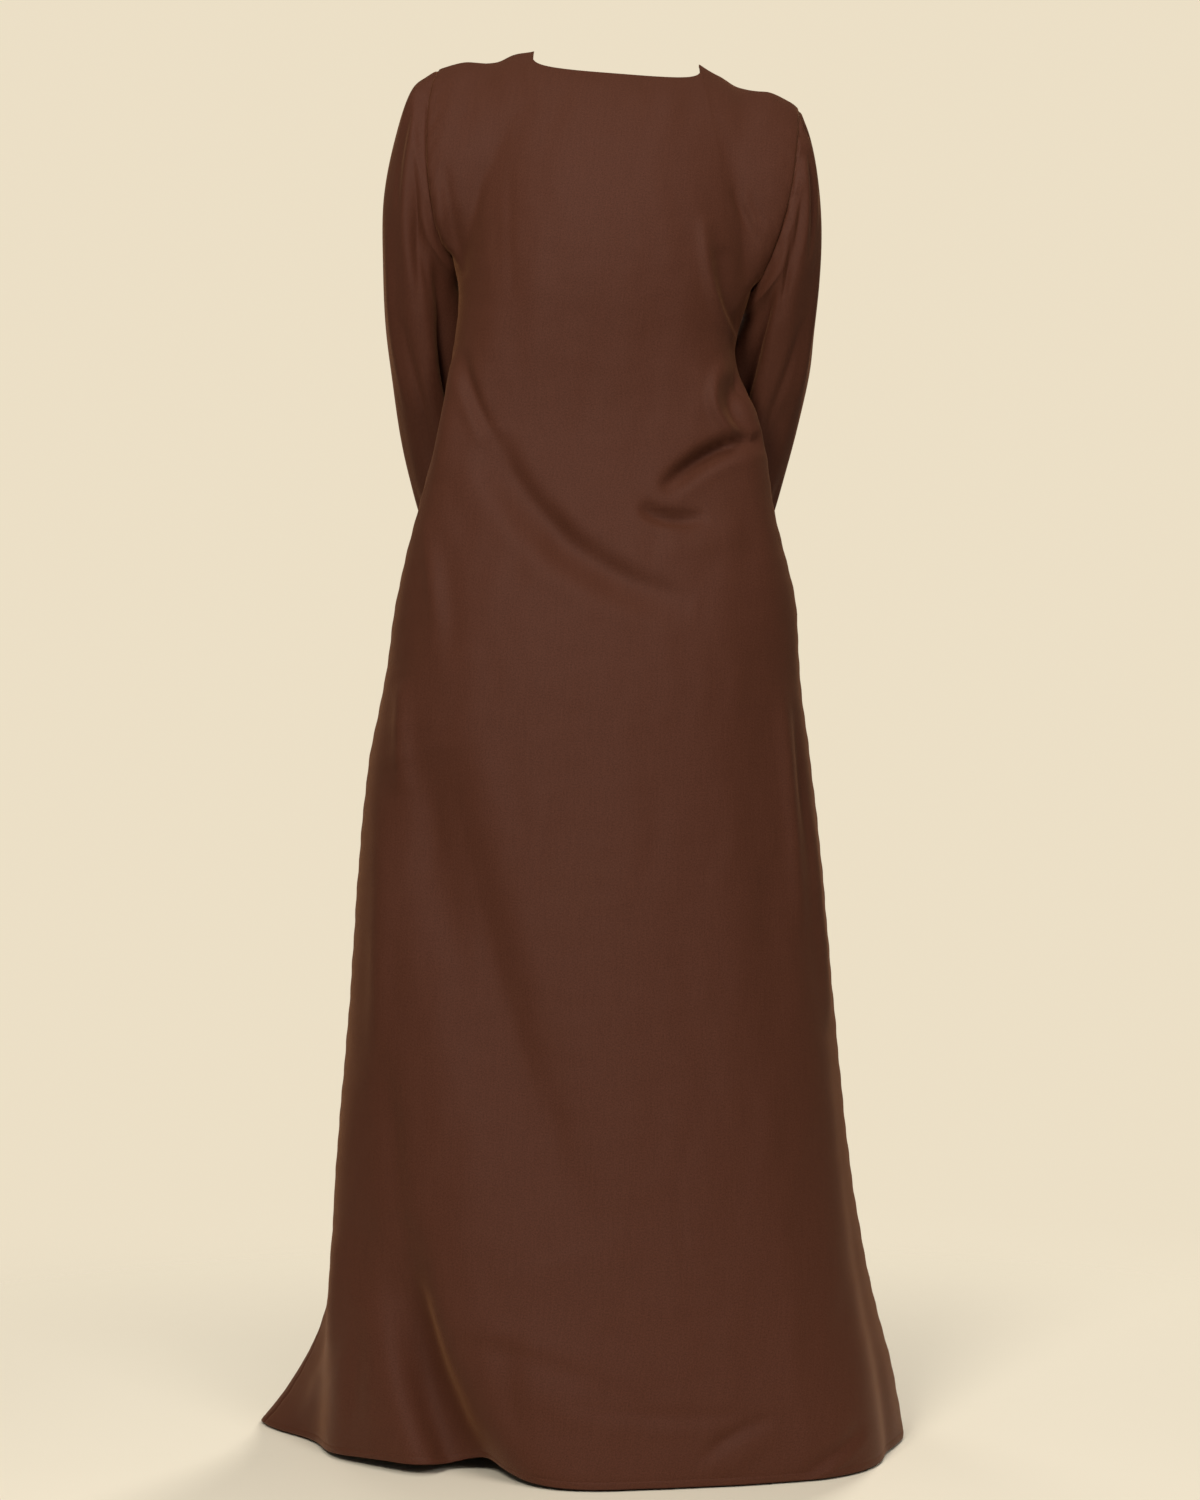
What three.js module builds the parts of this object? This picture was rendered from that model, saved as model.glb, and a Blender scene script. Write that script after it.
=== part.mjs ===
// A plain, floor-length abaya with long set-in sleeves, in its worn shape with nothing inside it.
// It is cut in four pieces: back, front and two sleeves. The neck, cuffs and hem are open.
// Millimetres, +Z up. The front faces -Y and the wearer's left is +X.
// The origin lies midway between the two neck points, the top ends of the shoulder seams.
import * as THREE from "three";

// Driving sizes
const clothWall = 1.6;
const seamGap = 0.3;
const floorZ = -1445; // the hem's lowest point
const hemTurn = 9; // depth of the turned hem
const hemLayers = 2; // the hem's wall, in thicknesses of the cloth
const cuffTurn = 0.14; // depth of the turned cuff, in sections of the sleeve
const armpitDip = 45; // the row at the armholes runs this much lower across the panel
const dipShare = 0.14; // the share of the columns over which it dips
const armholeSpread = { low: 0.08, high: 0.32 }; // share of the columns an armhole draws, armpit to top
const overShoulder = { level: 0.9, up: 0.42 }; // the way the cloth runs at the shoulder line
const backPower = 2.3; // how square the back half of each section is; 2 is an ellipse
const ridgeOffset = 1.7; // a crease's ridge lies this many half widths beside it
const ridgeWidth = 0.9; // and is this many of them wide
const edgeRest = 0.07; // the share of the columns beside a seam where creases fade out
const topRest = 1.85; // and the row above which they do
const panelCreaseTaper = 0.6; // how soon a crease reaches its full depth; 1 is a sine along it
const armCreaseTaper = 0.8;
const hemRowStep = 1.25; // the row above a turned hem or cuff, in depths of the turn
const cuffRowStep = 1.2;

// Steps to a neighbouring place, from which a surface's direction is worked out
const turnStep = 0.02; // round the body, in radians
const riseStep = 6; // up the body
const panelStep = 0.005; // over a panel, in shares of its width and rows
const sleeveStep = 0.05; // over a sleeve, in radians and sections
const halvings = 24; // to find where a yoke curve meets the neckline

// Mesh density. The panels share their rows, and a sleeve has a column for each yoke row of the two
// panels, so that the edges on both sides of a seam have the same points.
const panelColumnCount = { back: 36, front: 22 };
const shoulderColumnCount = { back: 8, front: 5 }; // those of a panel's columns that end on one shoulder
const skirtRowCount = 29;
const yokeRowCount = 10;
const sleeveColumnCount = 2 * yokeRowCount;
const sleeveRowCount = 21;

const shoulderPoint = { left: [188, 0, -14], right: [-191, 0, -56] };
const neckPoint = { left: [87, 0, 7], right: [-86, 0, -7] };

// The neckline of each panel: how far it drops from the neck points, and how square it is
const neckline = {
  back: { drop: 23, power: 5 },
  front: { drop: 126, power: 2.6 },
};

// Sections of the body, top to bottom: the side seams' x, the depth behind and in front of the
// shoulder line, the side seams' y, and how square the front half is
const bodyColumns = ["z", "left", "right", "back", "front", "seamLeft", "seamRight", "frontPower"];
const bodyRows = [
  [-180, 178, -162, 110, -104, 0, 0, 2.1],
  [-208, 173, -152, 113, -112, 2, 2, 2.1],
  [-250, 165, -139, 112, -121, 12, 8, 1.95],
  [-318, 170, -122, 104, -120, 30, 28, 1.8],
  [-390, 181, -147, 99, -114, 45, 40, 1.75],
  [-485, 207, -163, 110, -115, 40, 36, 1.85],
  [-569, 228, -184, 131, -119, 25, 22, 2.0],
  [-653, 241, -190, 146, -124, 12, 12, 2.1],
  [-737, 258, -201, 153, -129, 6, 6, 2.2],
  [-842, 269, -213, 162, -137, 2, 2, 2.2],
  [-989, 279, -226, 178, -151, 0, 0, 2.2],
  [-1157, 293, -243, 199, -169, -4, 0, 2.2],
  [-1283, 299, -263, 216, -183, -10, 2, 2.2],
  [-1367, 303, -282, 227, -193, -26, 6, 2.2],
  [-1420, 305, -290, 233, -200, -44, 10, 2.2],
  [-1445, 306, -292, 234, -203, -52, 12, 2.2],
];

// The armholes from armpit (t 0) to shoulder point (t 1): behind and before are the y of their two halves
const armholeColumns = ["t", "x", "z", "behind", "before"];
const armholeRows = {
  left: [
    [0.0, 173, -208, 2, 2],
    [0.15, 181, -199, 26, -24],
    [0.35, 190, -172, 45, -42],
    [0.6, 197, -118, 50, -46],
    [0.8, 197, -66, 38, -36],
    [0.93, 193, -30, 18, -18],
    [1.0, 188, -14, 0, 0],
  ],
  right: [
    [0.0, -140, -244, 7, 7],
    [0.15, -149, -234, 27, -18],
    [0.35, -165, -200, 45, -40],
    [0.6, -180, -148, 50, -46],
    [0.8, -187, -98, 38, -36],
    [0.93, -190, -68, 18, -18],
    [1.0, -191, -56, 0, 0],
  ],
};

// Sections of the sleeves from cap to cuff: the centre, the half width towards the outer arm,
// the half depth across it, and how far the two sides stand out from the section's plane
const sleeveColumns = ["x", "y", "z", "outX", "outY", "outZ", "deep", "bulge"];
const sleeveRows = {
  left: [
    [195, 0, -124, 19, 2, 91, 53, 12],
    [202, -6, -154, 31, 4, 69, 56, 8],
    [205.5, -16, -192, 39.5, 12, 46, 57, 3],
    [204, -26, -238, 43, 8, 24, 57, 0],
    [203, -41, -283, 43, 0, 9, 56, 0],
    [198, -60, -330, 42, 0, 0, 56, 0],
    [190, -82, -378, 43, -2, -5, 56, 0],
    [181, -98, -418, 43, 0, -10, 54, 0],
    [167, -118, -468, 43, 3, -13, 50, 0],
    [143, -142, -533, 42, 3, -14, 46, 0],
    [120, -166, -602, 40, 0, -13, 43, 0],
  ],
  right: [
    [-172.5, 0, -167, -29.5, 2, 84, 53, 12],
    [-174.5, -5, -194, -36.5, 3, 66, 55, 8],
    [-174, -14, -224, -41, 10, 47, 56, 3],
    [-169, -28, -259, -45, 8, 30, 56, 0],
    [-164, -42, -292, -46, 0, 11, 55, 0],
    [-158, -58, -328, -48, 0, 4, 55, 0],
    [-149, -80, -374, -46, -2, -3, 55, 0],
    [-140, -98, -418, -42, 0, -8, 53, 0],
    [-125, -118, -468, -42, 3, -12, 49, 0],
    [-105, -142, -535, -41, 3, -13, 45, 0],
    [-85, -166, -604, -39, 0, -12, 42, 0],
  ],
};

// Flutes of the skirt, all round: the angle from the centre back at the hem and at the top, where
// each starts, its half width in degrees, how far it stands out at the hem, and how late it grows
const fluteColumns = ["hemAngle", "topAngle", "topZ", "width", "out", "late"];
const fluteRows = [
  [94, 100, -1262, 13, 76, 0.9],
  [64, 72, -1000, 12, 16, 0.6],
  [24, 60, -1170, 9, -43, 0.4], // the deep trough at the left of the back
  [4, 10, -1230, 9, 10, 0.6],
  [128, 122, -780, 13, 30, 1.3],
  [150, 148, -700, 10, -26, 1.3],
  [176, 172, -640, 15, 26, 1.2],
  [205, 204, -760, 11, -24, 1.3],
  [232, 236, -820, 13, 26, 1.3],
  [-98, -94, -1150, 12, 10, 1.2],
  [-74, -80, -650, 9, -8, 0.8],
  [-48, -60, -1000, 16, 10, 1.0],
];

// Where the hem lifts off the floor: the angle from the centre back, the half width and how far up
const hemLifts = [
  { angle: 42, width: 22, up: 9 },
  { angle: 24, width: 9, up: 8 },
];

// Creases of the panels as seen from behind and from in front, each a bent line from start through
// a pull point to its end, with its half width, its depth (troughs are negative) and how much of the
// depth stands up as a ridge on the side that is to the left going along it
const creaseColumns = ["x0", "z0", "x1", "z1", "x2", "z2", "width", "depth", "ridge"];
const creaseRows = {
  back: [
    [160, -330, 105, -500, -45, -566, 20, -13, 0.45], // the long sweep from the left waist
    [140, -300, 118, -420, 96, -468, 13, 7, 0.0],
    [-136, -404, -50, -408, -38, -470, 15, -15, -0.5], // the hook at the right waist
    [-34, -466, -38, -500, -98, -494, 14, -12, 0.4],
    [-88, -190, -98, -300, -90, -400, 12, 8, 0.0],
    [-108, -236, -114, -300, -100, -372, 12, -5, 0.0],
    [158, -214, 150, -270, 140, -330, 12, 7, 0.0],
    [196, -440, 198, -520, 205, -640, 12, 7, 0.0],
    [200, -700, 168, -940, 30, -1270, 40, -15, 0.3], // the long trough down the left thigh
    [-190, -640, -206, -840, -216, -1060, 14, 8, 0.0],
    [-54, -1176, -72, -1200, -68, -1270, 6, -2.5, 0.0],
    [190, -1310, 110, -1330, -20, -1400, 26, 7, 0.0], // the cloth breaks over the floor
    [-80, -1425, -110, -1392, -160, -1384, 12, -6, 0.4],
    [-190, -1440, -225, -1425, -250, -1400, 10, -5, 0.4],
  ],
  front: [
    [96, -150, 60, -260, 20, -330, 18, -7, 0.0],
    [-90, -160, -58, -270, -10, -345, 18, -7, 0.0],
    [150, -300, 110, -430, 10, -520, 20, -10, 0.35],
    [-112, -310, -70, -440, 30, -560, 20, -9, -0.35],
    [120, -640, 90, -900, 60, -1180, 34, -12, 0.3],
    [-120, -660, -110, -920, -96, -1210, 34, -12, -0.3],
    [10, -700, 0, -960, -14, -1240, 40, 8, 0.0],
  ],
};

// Creases of the sleeves: the angle round the arm (0 outer, 90 behind, 180 inner, 270 before) at the
// start and end, the section numbers where they lie, half width in degrees, and depth
const armCreaseColumns = ["angle0", "angle1", "row0", "row1", "width", "depth"];
const armCreaseRows = {
  left: [
    [42, 58, 0.2, 2.8, 9, -4],
    [66, 76, 0.5, 4.2, 9, 3],
    [88, 112, 0.8, 5.2, 12, -6],
    [20, 34, 0.2, 2.0, 7, 2.5],
    [128, 150, 3.5, 7.4, 16, -7],
    [250, 205, 5.6, 8.4, 15, -9],
    [290, 240, 5.0, 8.0, 13, 6],
    [300, 262, 6.6, 9.6, 13, -7],
    [70, 112, 6.4, 9.4, 15, -5],
    [350, 330, 0.3, 3.2, 10, -4],
    [158, 168, 0.1, 2.6, 14, 4],
  ],
  right: [
    [14, 20, 0.2, 2.2, 6, -3],
    [28, 36, 0.2, 2.8, 6, 3],
    [42, 52, 0.2, 3.2, 7, -4],
    [58, 68, 0.3, 2.8, 7, 3.5],
    [76, 92, 0.4, 3.4, 9, -5],
    [120, 148, 3.2, 7.6, 16, -7],
    [250, 205, 5.6, 8.4, 15, -9],
    [290, 240, 5.0, 8.0, 13, 6],
    [300, 262, 6.6, 9.6, 13, -7],
    [60, 104, 6.2, 9.2, 14, -5],
    [350, 330, 0.3, 3.2, 10, -4],
    [158, 168, 0.1, 2.6, 14, 5],
  ],
};

const radians = Math.PI / 180;
const clamp = THREE.MathUtils.clamp;
const mix = THREE.MathUtils.lerp;
const vector = (point) => new THREE.Vector3(...point);

// 0 before a, 1 after b, and smooth between them
function ease(a, b, value) {
  const t = clamp((value - a) / (b - a), 0, 1);
  return t * t * (3 - 2 * t);
}

const signedPower = (value, power) => Math.sign(value) * Math.abs(value) ** power;

// A cubic through four values at times, between the middle two
function cubicThrough(times, values, at) {
  const span = times[2] - times[1];
  const t = (at - times[1]) / span;
  const slope = (values[2] - values[1]) / span;
  const before = times[0] === times[1] ? slope : (values[2] - values[0]) / (times[2] - times[0]);
  const after = times[3] === times[2] ? slope : (values[3] - values[1]) / (times[3] - times[1]);
  const start = (1 + 2 * t) * (1 - t) ** 2 * values[1] + t * (1 - t) ** 2 * span * before;
  return start + t * t * (3 - 2 * t) * values[2] + t * t * (t - 1) * span * after;
}

// A named column of a table at a value of its first column, on a smooth curve through the rows
function readTable(columns, rows, at, name) {
  const turn = rows[0][0] > rows[1][0] ? -1 : 1;
  const times = rows.map((row) => row[0] * turn);
  const wanted = clamp(at * turn, times[0], times[times.length - 1]);
  let i = 0;
  while (i < times.length - 2 && times[i + 1] < wanted) i += 1;
  const around = [Math.max(i - 1, 0), i, i + 1, Math.min(i + 2, times.length - 1)];
  const column = columns.indexOf(name);
  const values = around.map((k) => rows[k][column]);
  return cubicThrough(around.map((k) => times[k]), values, wanted);
}

const namedRows = (columns, rows) =>
  rows.map((row) => Object.fromEntries(columns.map((name, i) => [name, row[i]])));

const flutes = namedRows(fluteColumns, fluteRows);
const sleeveSections = {
  left: namedRows(sleeveColumns, sleeveRows.left),
  right: namedRows(sleeveColumns, sleeveRows.right),
};
const armCreases = {
  left: namedRows(armCreaseColumns, armCreaseRows.left),
  right: namedRows(armCreaseColumns, armCreaseRows.right),
};

// Where the hem lies at an angle from the centre back
function hemHeight(angle) {
  let height = floorZ;
  for (const lift of hemLifts) {
    height += lift.up * Math.exp(-(((angle / radians - lift.angle) / lift.width) ** 2));
  }
  return height;
}

// A point of the body's plain section at an angle from the centre back
function section(angle, z) {
  const read = (name) => readTable(bodyColumns, bodyRows, z, name);
  const left = read("left");
  const right = read("right");
  const sine = Math.sin(angle);
  const cosine = Math.cos(angle);
  const power = 2 / (cosine >= 0 ? backPower : read("frontPower"));
  const seam = sine >= 0 ? read("seamLeft") : read("seamRight");
  const depth = cosine >= 0 ? read("back") : read("front");
  return new THREE.Vector3(
    (left + right) / 2 + ((left - right) / 2) * signedPower(sine, power),
    seam + (depth - seam) * Math.abs(cosine) ** power,
    z,
  );
}

// How far the skirt's flutes stand out at an angle and height
function fluteHeight(angle, z) {
  let height = 0;
  for (const flute of flutes) {
    const grown = clamp((flute.topZ - z) / (flute.topZ - floorZ), 0, 1);
    const centre = mix(flute.topAngle, flute.hemAngle, grown);
    const away = ((((angle / radians - centre) % 360) + 540) % 360) - 180;
    height += flute.out * grown ** (1 + flute.late) * Math.exp(-((away / flute.width) ** 2));
  }
  return height;
}

// The body below the armpits, with its flutes
function skirt(angle, z) {
  const point = section(angle, z);
  const along = section(angle + turnStep, z).sub(section(angle - turnStep, z));
  const outward = new THREE.Vector3(-along.y, along.x, 0).normalize();
  if (outward.dot(new THREE.Vector3(Math.sin(angle), Math.cos(angle), 0)) < 0) outward.negate();
  return point.addScaledVector(outward, fluteHeight(angle, z));
}

function armhole(side, half, t) {
  const read = (name) => readTable(armholeColumns, armholeRows[side], t, name);
  return new THREE.Vector3(read("x"), read(half), read("z"));
}

function hermite({ start, startPull, end, endPull }, v) {
  return start.clone().multiplyScalar((1 + 2 * v) * (1 - v) ** 2)
    .addScaledVector(startPull, v * (1 - v) ** 2)
    .addScaledVector(end, v * v * (3 - 2 * v))
    .addScaledVector(endPull, v * v * (v - 1));
}

const panelAngle = (panel, u) =>
  (panel === "back" ? 90 - 180 * u : 90 + 180 * u) * radians;

// The height of the row that joins the two armpits
function armpitRow(u) {
  const left = armhole("left", "behind", 0).z;
  const right = armhole("right", "behind", 0).z;
  const inside = ease(0, dipShare, u) * ease(0, dipShare, 1 - u);
  return mix(left, right, u) - armpitDip * inside;
}

// How far down the neckline lies at a share of the way across it, 0 at the neck points, 1 at its lowest
const necklineDepth = (across, power) => (1 - Math.abs(2 * across - 1) ** power) ** (1 / power);

// One column of the yoke as a curve: from the armpit row, over the shoulder line, to the line along
// the shoulder seams and straight across the neck; top is where on it the panel ends
function makeYokeCurve(panel, u) {
  const share = shoulderColumnCount[panel] / panelColumnCount[panel];
  const angle = panelAngle(panel, u);
  const z = armpitRow(u);
  const start = skirt(angle, z);
  const overNeck = clamp((u - share) / (1 - 2 * share), 0, 1);
  const end = vector(neckPoint.left).lerp(vector(neckPoint.right), overNeck);
  if (u < share) end.copy(vector(shoulderPoint.left).lerp(end, u / share));
  if (u > 1 - share) end.copy(vector(shoulderPoint.right).lerp(end, (1 - u) / share));
  const climb = start.distanceTo(end);
  const startPull = skirt(angle, z + riseStep).sub(skirt(angle, z - riseStep)).setLength(climb);
  const forward = panel === "back" ? -overShoulder.level : overShoulder.level;
  const endPull = new THREE.Vector3(0, forward, overShoulder.up).setLength(climb);
  const curve = { start, startPull, end, endPull, top: 1 };
  const { drop, power } = neckline[panel];
  const neckHeight = end.z - drop * necklineDepth(overNeck, power);
  let low = 0;
  for (let i = 0; i < halvings && neckHeight < end.z; i += 1) {
    const middle = (low + curve.top) / 2;
    if (hermite(curve, middle).z < neckHeight) low = middle;
    else curve.top = middle;
  }
  return curve;
}

const yokeCurves = new Map();

function yokeCurve(panel, u) {
  const key = `${panel} ${u}`;
  if (!yokeCurves.has(key)) yokeCurves.set(key, makeYokeCurve(panel, u));
  return yokeCurves.get(key);
}

// The yoke, drawn out at both sides so that it ends on the armholes
function yoke(panel, u, v) {
  const half = panel === "back" ? "behind" : "before";
  const curve = yokeCurve(panel, u);
  const spread = mix(armholeSpread.low, armholeSpread.high, v);
  const toLeft = armhole("left", half, v).sub(hermite(yokeCurve(panel, 0), v));
  const toRight = armhole("right", half, v).sub(hermite(yokeCurve(panel, 1), v));
  return hermite(curve, v * curve.top)
    .addScaledVector(toLeft, 1 - ease(0, spread, u))
    .addScaledVector(toRight, 1 - ease(0, spread, 1 - u));
}

// A panel's plain surface: u runs from the left side to the right, v from hem (0) to armpit (1) to top (2)
function plainPanel(panel, u, v) {
  if (v >= 1) return yoke(panel, u, v - 1);
  const angle = panelAngle(panel, u);
  return skirt(angle, mix(hemHeight(angle), armpitRow(u), v));
}

// Points along each crease, worked out once
function creaseLines(columns, rows, steps = 18) {
  return namedRows(columns, rows).map((crease) => {
    const line = [];
    for (let i = 0; i <= steps; i += 1) {
      const t = i / steps;
      const bend = (a, b, c) => (1 - t) ** 2 * a + 2 * t * (1 - t) * b + t * t * c;
      line.push([bend(crease.x0, crease.x1, crease.x2), bend(crease.z0, crease.z1, crease.z2)]);
    }
    return { ...crease, line };
  });
}

const panelCreases = {
  back: creaseLines(creaseColumns, creaseRows.back),
  front: creaseLines(creaseColumns, creaseRows.front),
};

// The nearest place on a crease: how far along it, and how far to its left
function nearestOn(line, x, z) {
  let best = { distance: Infinity, along: 0, left: 0 };
  for (let i = 0; i < line.length - 1; i += 1) {
    const [ax, az] = line[i];
    const [bx, bz] = [line[i + 1][0] - ax, line[i + 1][1] - az];
    const t = clamp(((x - ax) * bx + (z - az) * bz) / (bx * bx + bz * bz), 0, 1);
    const [dx, dz] = [x - ax - t * bx, z - az - t * bz];
    const distance = Math.hypot(dx, dz);
    if (distance < best.distance) {
      const left = Math.sign(bx * dz - bz * dx) * distance;
      best = { distance, along: (i + t) / (line.length - 1), left };
    }
  }
  return best;
}

function creaseHeight(creases, x, z) {
  let height = 0;
  for (const crease of creases) {
    const { distance, along, left } = nearestOn(crease.line, x, z);
    const away = distance / crease.width;
    if (away > 4) continue;
    const length = Math.sin(Math.PI * clamp(along, 0.001, 0.999)) ** panelCreaseTaper;
    const beside = (left / crease.width - ridgeOffset * Math.sign(crease.ridge)) / ridgeWidth;
    const ridge = Math.abs(crease.ridge) * Math.exp(-(beside ** 2));
    height += crease.depth * length * (Math.exp(-(away ** 2)) - ridge);
  }
  return height;
}

// A surface's direction outwards at a place, from its neighbours; sign is 1 where across turned
// towards up points outwards
function facing(surface, u, v, step, range, sign) {
  const [u0, u1] = [Math.max(u - step, range[0]), Math.min(u + step, range[1])];
  const [v0, v1] = [Math.max(v - step, range[2]), Math.min(v + step, range[3])];
  const across = surface(u1, v).sub(surface(u0, v));
  const up = surface(u, v1).sub(surface(u, v0));
  return across.cross(up).normalize().multiplyScalar(sign);
}

const panelFacing = (surface, panel, u, v) =>
  facing(surface, u, v, panelStep, [0, 1, 0, 2], panel === "back" ? 1 : -1);

function foldedPanel(panel, u, v) {
  const point = plainPanel(panel, u, v);
  const free = ease(0, edgeRest, u) * ease(0, edgeRest, 1 - u) * (1 - ease(topRest, 2, v));
  if (free === 0) return point;
  const normal = panelFacing((a, b) => plainPanel(panel, a, b), panel, u, v);
  return point.addScaledVector(normal, creaseHeight(panelCreases[panel], point.x, point.z) * free);
}

// A closed wall from two grids of points, rows of columns, that may be closed round
function wallBetween(outer, inner, closedRound) {
  const rows = outer.length;
  const columns = outer[0].length;
  const positions = [...outer.flat(), ...inner.flat()].flatMap((p) => [p.x, p.y, p.z]);
  const at = (layer, row, column) => layer * rows * columns + row * columns + (column % columns);
  const index = [];
  const quad = (a, b, c, d) => index.push(a, b, c, a, c, d);
  const across = closedRound ? columns : columns - 1;
  for (let r = 0; r < rows - 1; r += 1) {
    for (let c = 0; c < across; c += 1) {
      const next = (c + 1) % columns;
      const rising = outer[r][c].distanceTo(outer[r + 1][next]);
      const falling = outer[r][next].distanceTo(outer[r + 1][c]);
      const corners = [[r, c], [r, next], [r + 1, next], [r + 1, c]];
      if (falling < rising) corners.push(corners.shift());
      const [a, b, d, e] = corners;
      quad(at(0, ...a), at(0, ...b), at(0, ...d), at(0, ...e));
      quad(at(1, ...a), at(1, ...e), at(1, ...d), at(1, ...b));
    }
  }
  for (let c = 0; c < across; c += 1) {
    quad(at(0, 0, c), at(1, 0, c), at(1, 0, c + 1), at(0, 0, c + 1));
    quad(at(0, rows - 1, c + 1), at(1, rows - 1, c + 1), at(1, rows - 1, c), at(0, rows - 1, c));
  }
  for (let r = 0; r < rows - 1 && !closedRound; r += 1) {
    quad(at(0, r + 1, 0), at(1, r + 1, 0), at(1, r, 0), at(0, r, 0));
    quad(at(0, r, columns - 1), at(1, r, columns - 1), at(1, r + 1, columns - 1), at(0, r + 1, columns - 1));
  }
  if (signedVolume(positions, index) < 0) {
    for (let i = 0; i < index.length; i += 3) [index[i + 1], index[i + 2]] = [index[i + 2], index[i + 1]];
  }
  const geometry = new THREE.BufferGeometry();
  geometry.setAttribute("position", new THREE.Float32BufferAttribute(positions, 3));
  geometry.setIndex(index);
  geometry.computeVertexNormals();
  return geometry;
}

function signedVolume(positions, index) {
  const corner = (i) => new THREE.Vector3().fromArray(positions, index[i] * 3);
  let volume = 0;
  for (let i = 0; i < index.length; i += 3) volume += corner(i).dot(corner(i + 1).cross(corner(i + 2)));
  return volume / 6;
}

// A sleeve's plain surface: angle round it from the outer side by way of the back, row from the
// armhole (0) through its table's sections
function plainSleeve(side, angle, row) {
  const rows = sleeveSections[side];
  const outward = side === "left" ? 1 : -1;
  const sectionPoint = (k) => {
    if (k === 0) {
      const turned = ((angle / Math.PI) % 2 + 2) % 2;
      return turned <= 1 ? armhole(side, "behind", 1 - turned) : armhole(side, "before", turned - 1);
    }
    const here = rows[k - 1];
    const before = rows[Math.max(k - 2, 0)];
    const after = rows[Math.min(k, rows.length - 1)];
    const out = new THREE.Vector3(here.outX, here.outY, here.outZ);
    const along = new THREE.Vector3(after.x - before.x, after.y - before.y, after.z - before.z);
    const behind = out.clone().cross(along).setX(0).setLength(here.deep).multiplyScalar(outward);
    return new THREE.Vector3(here.x, here.y, here.z)
      .addScaledVector(out, Math.cos(angle))
      .addScaledVector(behind, Math.sin(angle))
      .add(new THREE.Vector3(outward * here.bulge * Math.sin(angle) ** 2, 0, 0));
  };
  const last = rows.length;
  const i = clamp(Math.floor(row), 0, last - 1);
  const around = [Math.max(i - 1, 0), i, i + 1, Math.min(i + 2, last)];
  const points = around.map(sectionPoint);
  const through = (axis) => cubicThrough(around, points.map((p) => p[axis]), row);
  return new THREE.Vector3(through("x"), through("y"), through("z"));
}

function armCreaseHeight(side, angle, row) {
  let height = 0;
  for (const crease of armCreases[side]) {
    const along = (row - crease.row0) / (crease.row1 - crease.row0);
    if (along <= 0 || along >= 1) continue;
    const centre = mix(crease.angle0, crease.angle1, along);
    const away = ((((angle / radians - centre) % 360) + 540) % 360) - 180;
    const length = Math.sin(Math.PI * along) ** armCreaseTaper;
    height += crease.depth * length * Math.exp(-((away / crease.width) ** 2));
  }
  return height;
}

const sleeveFacing = (surface, side, angle, row) => {
  const range = [-Infinity, Infinity, 0, sleeveSections[side].length];
  return facing(surface, angle, row, sleeveStep, range, side === "left" ? -1 : 1);
};

function foldedSleeve(side, angle, row) {
  const plain = (a, r) => plainSleeve(side, a, r);
  const point = plain(angle, row);
  const height = armCreaseHeight(side, angle, row);
  return height === 0 ? point : point.addScaledVector(sleeveFacing(plain, side, angle, row), height);
}

// The direction through the cloth at an armhole seam, halfway between the panel's and the sleeve's
function armholeFacing(side, panel, t) {
  if (t === 0 || t === 1) return new THREE.Vector3(0, 0, 2 * t - 1);
  const angle = Math.PI * (panel === "back" ? 1 - t : 1 + t);
  const sleeve = sleeveFacing((a, r) => plainSleeve(side, a, r), side, angle, 0);
  const body = panelFacing((a, b) => plainPanel(panel, a, b), panel, side === "left" ? 0 : 1, 1 + t);
  return body.add(sleeve).setX(0).normalize();
}

// The rows of a panel as values of v: a close pair at the hem's turn, then even steps to the top
function panelSteps() {
  const turn = hemTurn / -floorZ;
  const above = turn * hemRowStep;
  const steps = [0, turn, above];
  for (let i = 1; i <= skirtRowCount; i += 1) steps.push(mix(above, 1, i / skirtRowCount));
  for (let i = 1; i <= yokeRowCount; i += 1) steps.push(1 + i / yokeRowCount);
  return steps;
}

// A panel's wall. Its edges stop half the gap short of the seams, along y at the side and shoulder
// seams and along x at the armholes, and both pieces at a seam have the same thickness direction.
function panelGeometry(panel) {
  const outward = panel === "back" ? 1 : -1;
  const columns = panelColumnCount[panel];
  const shoulder = shoulderColumnCount[panel];
  const surface = (u, v) => foldedPanel(panel, u, v);
  const outer = [];
  const inner = [];
  panelSteps().forEach((v, row) => {
    const outerRow = [];
    const innerRow = [];
    for (let c = 0; c <= columns; c += 1) {
      const u = c / columns;
      const side = u < 0.5 ? "left" : "right";
      const onSide = c === 0 || c === columns;
      const onArmhole = onSide && v >= 1;
      const onShoulder = v === 2 && (c <= shoulder || c >= columns - shoulder);
      const point = surface(u, v);
      const normal = onArmhole ? armholeFacing(side, panel, v - 1) : panelFacing(surface, panel, u, v);
      if (onArmhole) point.x += (side === "left" ? -1 : 1) * seamGap / 2;
      if ((onSide && v <= 1) || onShoulder) {
        normal.setY(0).normalize();
        point.y += outward * seamGap / 2;
      }
      const layers = row < 2 ? hemLayers : 1;
      outerRow.push(point);
      innerRow.push(point.clone().addScaledVector(normal, -clothWall * layers));
    }
    outer.push(outerRow);
    inner.push(innerRow);
  });
  return wallBetween(outer, inner, false);
}

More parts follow.
